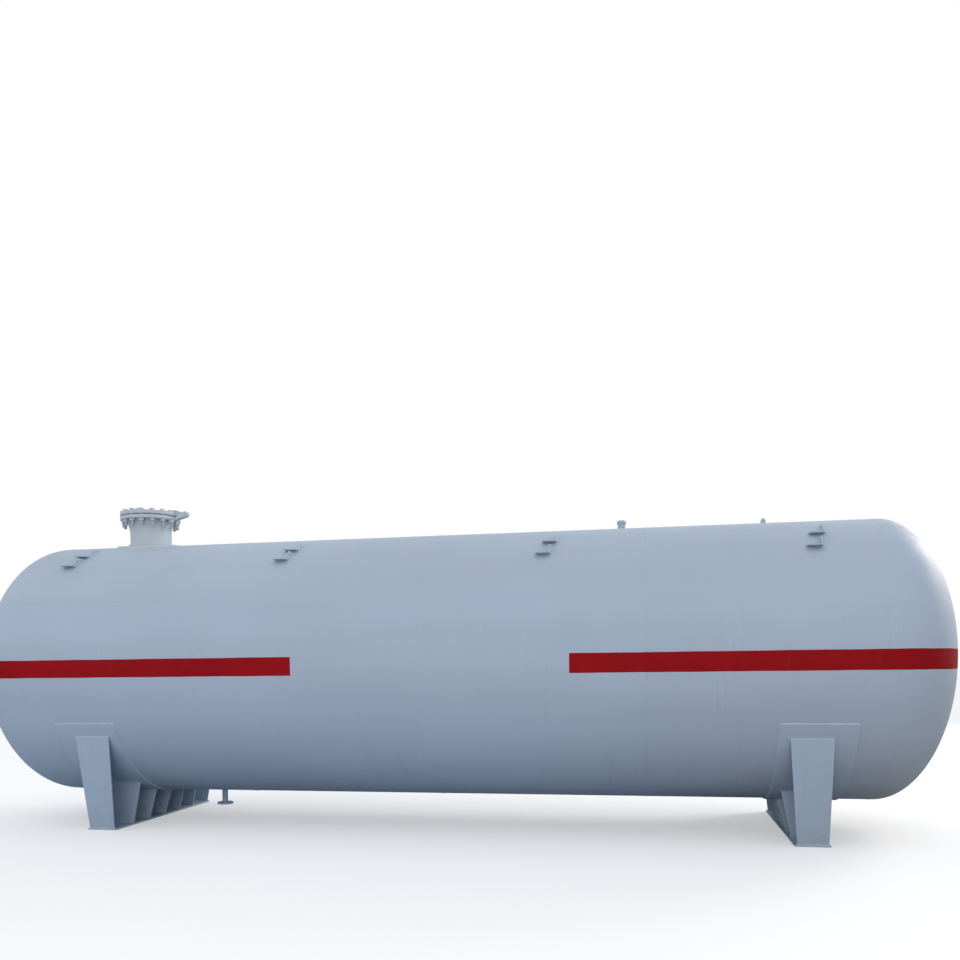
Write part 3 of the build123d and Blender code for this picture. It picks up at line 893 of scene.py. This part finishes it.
def band(name, direction, end_x):
    """Strip from end_x on the near side round one dished end to the same place at the back."""
    coarse = np.arange(direction * end_x, head_start, BAND_STEP)
    over_seams = [direction * x + np.linspace(-NEAR_SEAM, NEAR_SEAM, 14) for x in seams]
    fine = np.concatenate([values[values > direction * end_x] for values in over_seams])
    fine = fine[fine < head_start]
    straight = np.unique(np.concatenate([coarse, fine, [direction * end_x, head_start]]))
    turn = np.linspace(0.0, math.pi, 91)[1:-1]
    x = np.concatenate([straight, head_start + head_depth * np.sin(turn), straight[::-1]])
    y = np.concatenate([-np.ones(len(straight)), -np.cos(turn), np.ones(len(straight))])
    across = np.linspace(BAND_HIGH, BAND_LOW, BAND_ROWS)

    distance = np.arange(len(x)) * BAND_STEP
    wander = EDGE_WANDER * (np.sin(7.0 * distance + direction) + 0.7 * np.sin(17.3 * distance))
    height = across[None, :] + wander[:, None] * np.sign(across)[None, :]
    shrink = np.sqrt(1.0 - (height / shell_radius) ** 2)
    on_head = np.maximum(x - head_start, 0.0)[:, None] * shrink
    on_line = np.minimum(x, head_start)[:, None]
    sideways = shell_radius * y[:, None] * shrink
    points = np.stack([on_line + on_head, sideways, height], axis=-1)
    square = unit(np.stack([
        on_head / head_depth ** 2,
        sideways / shell_radius ** 2,
        height / shell_radius ** 2,
    ], axis=-1))
    rise = np.zeros(len(x))
    for seam_x in seams:
        share = (x - direction * seam_x) / (2 * SEAM_HALF_WIDTH) + 0.5
        rise += np.where((share > 0.0) & (share < 1.0), 4 * SEAM_RISE * share * (1.0 - share), 0.0)
    front = points + (BAND_FILM + OVER_SEAM * rise[:, None, None]) * square
    back = points - BAND_SUNK * square
    strip = np.concatenate([front, back[:, ::-1, :]], axis=1)
    strip = strip * (direction, 1.0, 1.0) + (0.0, 0.0, axis_z)
    add_piece(name, [grid_solid(strip)], band_paint)


band("band_left", -1.0, LEFT_BAND_END)
band("band_right", 1.0, RIGHT_BAND_END)
print("band width", round(BAND_HIGH - BAND_LOW, 3))

# %% [markdown]
# Sixteen bolts clamp the manway cover, heads up, with a nut and a length of spare thread under the
# flange. Head and nut are six-sided prisms turned down at the end, and where the turned cone cuts
# the flats it leaves the curved edge that makes a nut look like one. The thread is a helix: the
# radius at each point depends on its height and on how far round it is.

# %% Bolts and nuts of the manway
BOLT_CIRCLE = 0.275
BOLT_COUNT = 16
BOLT_RADIUS = 0.0165
THREAD_PITCH = 0.0035
THREAD_DEPTH = 0.0021
THREAD_POINT = 0.003
THREAD_RUNOUT = 0.002
ACROSS_FLATS = 0.050
HEAD_HEIGHT = 0.021
NUT_HEIGHT = 0.026
BELOW_FLANGE = 0.075
WASHER_FACE = 0.0008
BOLT_COLUMNS = 24
NUT_COLUMNS = 36
BOLT_SHARP_ANGLE = 50.0
NUT_SHARP_ANGLE = 20.0
TURNED_RADIUS = 0.95 * ACROSS_FLATS / 2
NUT_HOLE = 0.97 * BOLT_RADIUS


def hexagon(columns):
    """Angles round a hexagon, its radius at each, and how far its corners are turned off."""
    angle = np.linspace(0.0, 2 * math.pi, columns, endpoint=False)
    from_flat = (angle + math.pi / 6) % (math.pi / 3) - math.pi / 6
    radius = ACROSS_FLATS / 2 / np.cos(from_flat)
    cut = np.maximum(radius - TURNED_RADIUS, 0.0) * math.tan(math.radians(30.0))
    return angle, radius, cut


def turned_rows(x, y, profile, angle):
    """Rows of points round an upright line; the profile gives radius and height by angle."""
    rows = []
    for radius, z in profile:
        radius, z = np.broadcast_to(radius, angle.shape), np.broadcast_to(z, angle.shape)
        rows.append(np.stack([x + radius * np.cos(angle), y + radius * np.sin(angle), z], axis=1))
    return np.array(rows)


def nut(x, y, bottom, twist):
    """Hexagon nut with both ends chamfered."""
    angle, flats, cut = hexagon(NUT_COLUMNS)
    top = bottom + NUT_HEIGHT
    profile = [
        (NUT_HOLE, bottom),
        (TURNED_RADIUS, bottom),
        (flats, bottom + cut),
        (flats, top - cut),
        (TURNED_RADIUS, top),
        (NUT_HOLE, top),
    ]
    return grid_solid(turned_rows(x, y, profile, angle + twist), ring=True)


def bolt(x, y, low, twist):
    """Bolt with its head on the cover and its thread below the flange."""
    angle, flats, cut = hexagon(BOLT_COLUMNS)
    profile = []
    for z in np.arange(low, under_flange, THREAD_PITCH / 4):
        wave = np.abs(((z / THREAD_PITCH - angle / (2 * math.pi)) % 1.0) * 2 - 1)
        limit = BOLT_RADIUS - THREAD_POINT + min(z - low, THREAD_POINT)
        profile.append((np.minimum(BOLT_RADIUS - THREAD_DEPTH * wave, limit), z))
    seat = cover_high.z
    profile += [
        (BOLT_RADIUS, under_flange + THREAD_RUNOUT),
        (BOLT_RADIUS, seat),
        (TURNED_RADIUS, seat),
        (TURNED_RADIUS, seat + WASHER_FACE),
        (flats, seat + WASHER_FACE),
        (flats, seat + HEAD_HEIGHT - cut),
        (TURNED_RADIUS, seat + HEAD_HEIGHT),
    ]
    return grid_solid(turned_rows(x, y, profile, angle + twist))


chance = random.Random(7)
bolts = []
nuts = []
for number in range(BOLT_COUNT):
    angle = 2 * math.pi * (number + 0.5) / BOLT_COUNT
    x = manway_x + BOLT_CIRCLE * math.cos(angle)
    y = BOLT_CIRCLE * math.sin(angle)
    low = under_flange - BELOW_FLANGE + chance.uniform(-0.002, 0.002)
    bolts.append(bolt(x, y, low, chance.uniform(0.0, 1.0)))
    nuts.append(nut(x, y, under_flange - NUT_HEIGHT, chance.uniform(0.0, 1.0)))
add_piece("manway_bolts", bolts, zinc, BOLT_SHARP_ANGLE)
add_piece("manway_nuts", nuts, zinc, NUT_SHARP_ANGLE)
